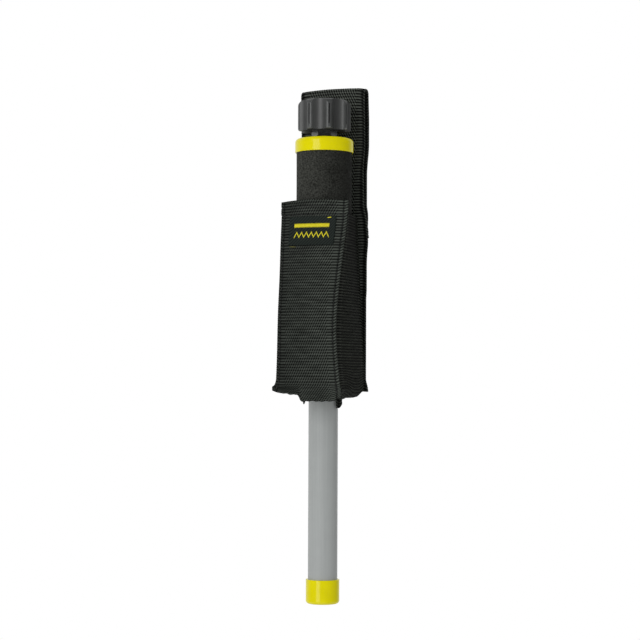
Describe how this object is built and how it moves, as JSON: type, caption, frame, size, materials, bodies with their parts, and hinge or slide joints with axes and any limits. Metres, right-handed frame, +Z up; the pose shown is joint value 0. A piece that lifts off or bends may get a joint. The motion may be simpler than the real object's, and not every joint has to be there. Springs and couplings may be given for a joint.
{
  "type": "underwater pinpointer in a belt holster",
  "caption": "Waterproof hand-held metal pinpointer: capped sensing pipe, foam-gripped battery handle with a screw-tightened rubber plug, carried in a webbing belt holster.",
  "frame": {"origin": "centre of the belt slot behind the holster", "axes": "+X along the belt, +Y towards the wearer, +Z up along the probe from its tip to its knob; the holster's front faces -Y"},
  "size_m": [0.0512, 0.0677, 0.3755],
  "materials": {
    "yellow_vinyl": "smooth dip-moulded vinyl",
    "grey_pvc": "satin extruded pipe",
    "black_foam": "closed-cell foam, fine-grained",
    "knob_plastic": "moulded, satin",
    "plated_steel": "bright plated",
    "black_plastic": "machined",
    "black_rubber": "moulded rubber",
    "white_plastic": "moulded",
    "potting": "cast resin",
    "ferrite": "sintered",
    "copper": "enamelled wire",
    "white_wire": "insulated wire",
    "red_wire": "insulated wire",
    "black_wire": "insulated wire",
    "board_laminate": "solder mask",
    "chip_resin": "moulded resin",
    "capacitor_sleeve": "shrink sleeve on a can",
    "motor_steel": "drawn can",
    "weight_metal": "sintered",
    "battery_can": "plain wrapped can",
    "black_webbing": "ribbed woven webbing",
    "label_cloth": "woven patch, blank"
  },
  "bodies": {
    "holster": {"front_panel": "black_webbing", "gusset_strap": "black_webbing", "back_strap": "black_webbing", "label_patch": "label_cloth"},
    "probe": {"tip_cap": "yellow_vinyl", "probe_tube": "grey_pvc", "tip_plug": "potting", "coil_core": "ferrite", "coil_bobbin": "white_plastic", "coil_winding": "copper", "coil_leads": "white_wire", "reducer": "grey_pvc", "handle_tube": "grey_pvc", "grip_sleeve": "black_foam", "end_cap": "yellow_vinyl", "lower_bulkhead": "white_plastic", "upper_bulkhead": "white_plastic", "circuit_board": "board_laminate", "board_chips": "chip_resin", "board_capacitors": "capacitor_sleeve", "vibration_motor": "motor_steel", "motor_clip": "white_plastic", "motor_leads": "white_wire", "battery": "battery_can", "battery_terminals": "plated_steel", "battery_snap": "black_plastic", "battery_lead_plus": "red_wire", "battery_lead_minus": "black_wire", "battery_pad": "black_foam", "battery_cushion": "black_foam"},
    "rotor": {"motor_shaft": "motor_steel", "eccentric_weight": "weight_metal"},
    "plug": {"pressure_plate": "black_plastic", "stud_oring": "black_rubber", "thrust_washer": "plated_steel", "expansion_bung": "black_rubber"},
    "clamp": {"lower_plate": "black_plastic", "plug_stud": "plated_steel", "stud_nut": "plated_steel"},
    "hand_knob": {"knob": "knob_plastic", "knob_nut": "plated_steel"}
  },
  "joints": [
    {"name": "probe_draw", "type": "slide", "parent": "holster", "child": "probe", "axis": [0, 0, 1], "range_m": [0, 0.3]},
    {"name": "plug_pull", "type": "slide", "parent": "probe", "child": "plug", "axis": [0, 0, 1], "range_m": [0, 0.045]},
    {"name": "knob_turn", "type": "hinge", "parent": "plug", "child": "hand_knob", "pos_m": [0, -0.02618, 0], "axis": [0, 0, 1], "range_deg": [0, 1080]},
    {"name": "clamp_travel", "type": "slide", "parent": "plug", "child": "clamp", "axis": [0, 0, -1], "range_m": [0, 0.0046], "deforming": ["expansion_bung"]},
    {"name": "rotor_spin", "type": "hinge", "parent": "probe", "child": "rotor", "pos_m": [0, -0.01938, 0], "axis": [0, 0, 1], "continuous": true}
  ],
  "couplings": [
    {"joint": "clamp_travel", "follows": "knob_turn", "m_per_rad": 0.00023873}
  ]
}
